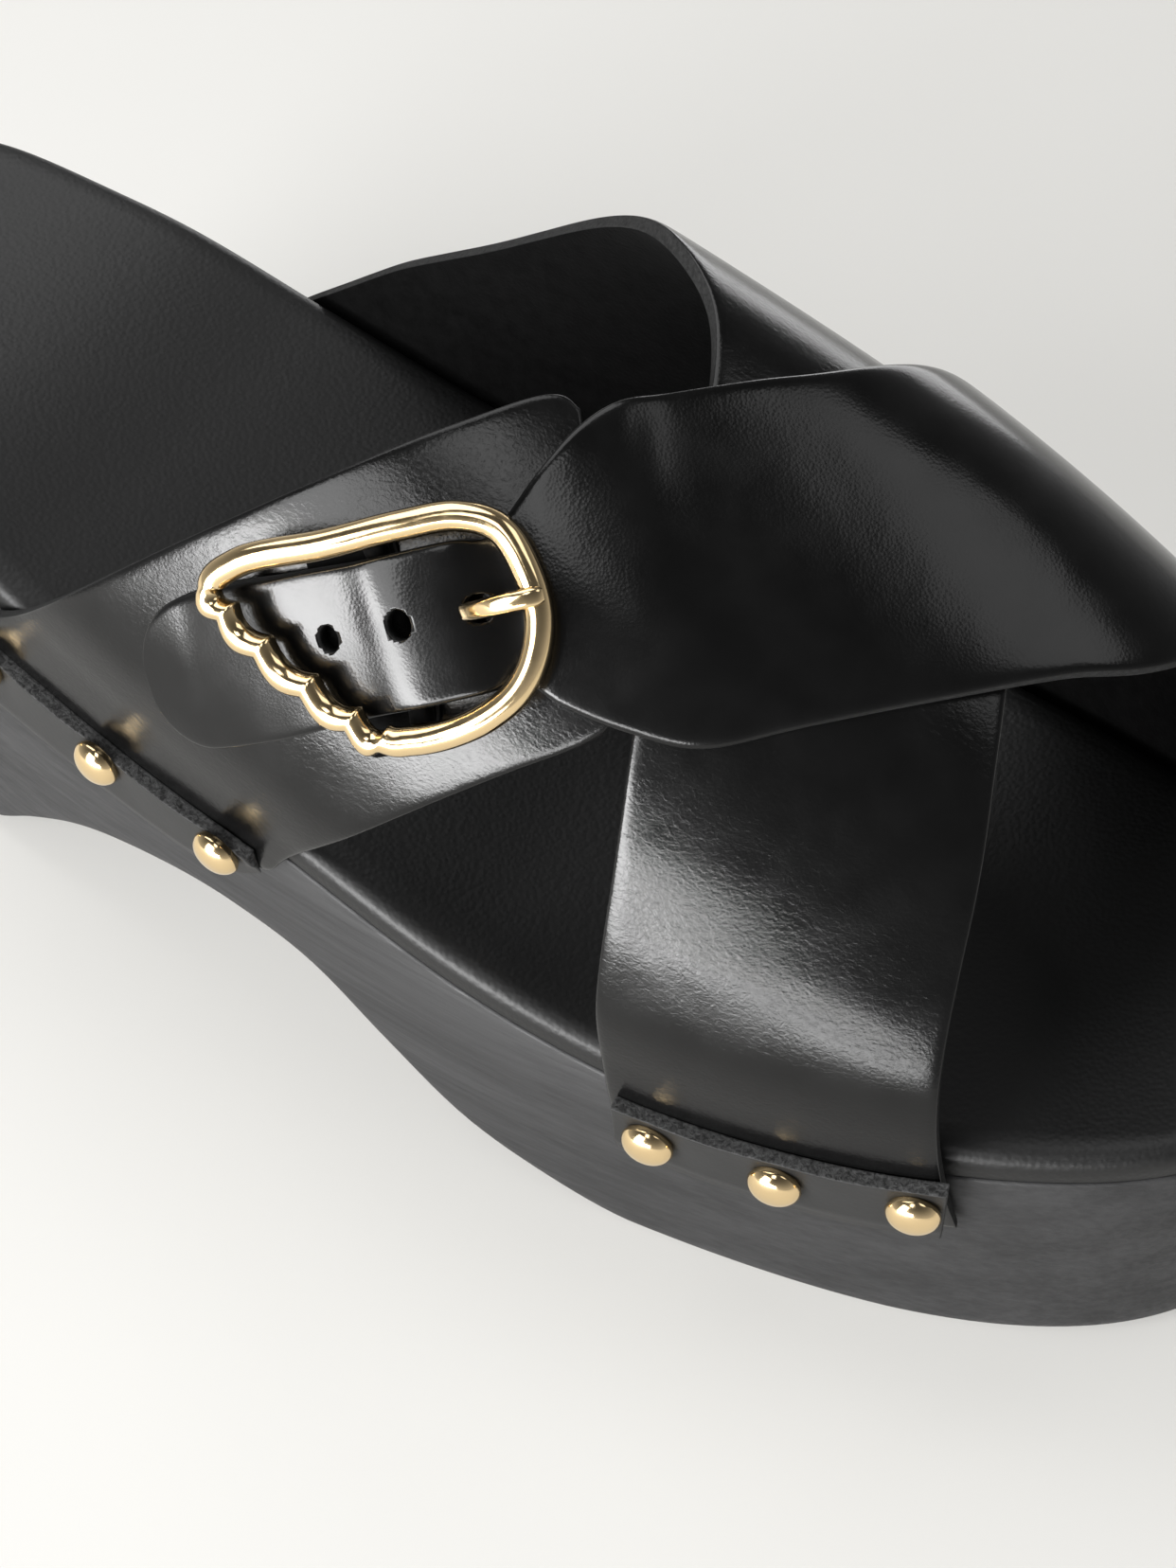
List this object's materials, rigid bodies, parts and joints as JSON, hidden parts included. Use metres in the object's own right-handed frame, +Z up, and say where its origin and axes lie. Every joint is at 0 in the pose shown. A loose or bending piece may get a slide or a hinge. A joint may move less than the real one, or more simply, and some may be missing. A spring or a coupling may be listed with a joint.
{
  "type": "studded leather clog",
  "caption": "Right-foot clog sandal: crossed leather straps with a buckled tab, nailed under studded strips to a wooden heeled platform sole with a leather insole.",
  "frame": {"origin": "middle of the footprint on the floor, at the bottom centre of the bounding box", "axes": "+X to the toe, +Y to the wearer's left (the inner side of the foot), +Z up"},
  "size_m": [0.2496, 0.1018, 0.1096],
  "materials": {
    "stained_wood": "black-stained wood, matte, fine lengthwise grain",
    "insole_leather": "smooth black leather, satin",
    "strap_leather": "polished black leather with raw cut edges and a suede inside",
    "rand_leather": "matte black leather with a raw cut top edge",
    "gold_plate": "polished pale gold plating"
  },
  "bodies": {
    "root": {"sole": "stained_wood", "insole": "insole_leather", "upper": "strap_leather", "buckle_strap": "strap_leather", "rand_outer_front": "rand_leather", "rand_outer_rear": "rand_leather", "rand_inner_front": "rand_leather", "rand_inner_rear": "rand_leather", "stud_outer_front_1": "gold_plate", "stud_outer_front_2": "gold_plate", "stud_outer_front_3": "gold_plate", "stud_outer_rear_1": "gold_plate", "stud_outer_rear_2": "gold_plate", "stud_outer_rear_3": "gold_plate", "stud_inner_front_1": "gold_plate", "stud_inner_front_2": "gold_plate", "stud_inner_front_3": "gold_plate", "stud_inner_rear_1": "gold_plate", "stud_inner_rear_2": "gold_plate", "stud_inner_rear_3": "gold_plate", "buckle_frame": "gold_plate", "buckle_prong": "gold_plate"}
  },
  "joints": []
}
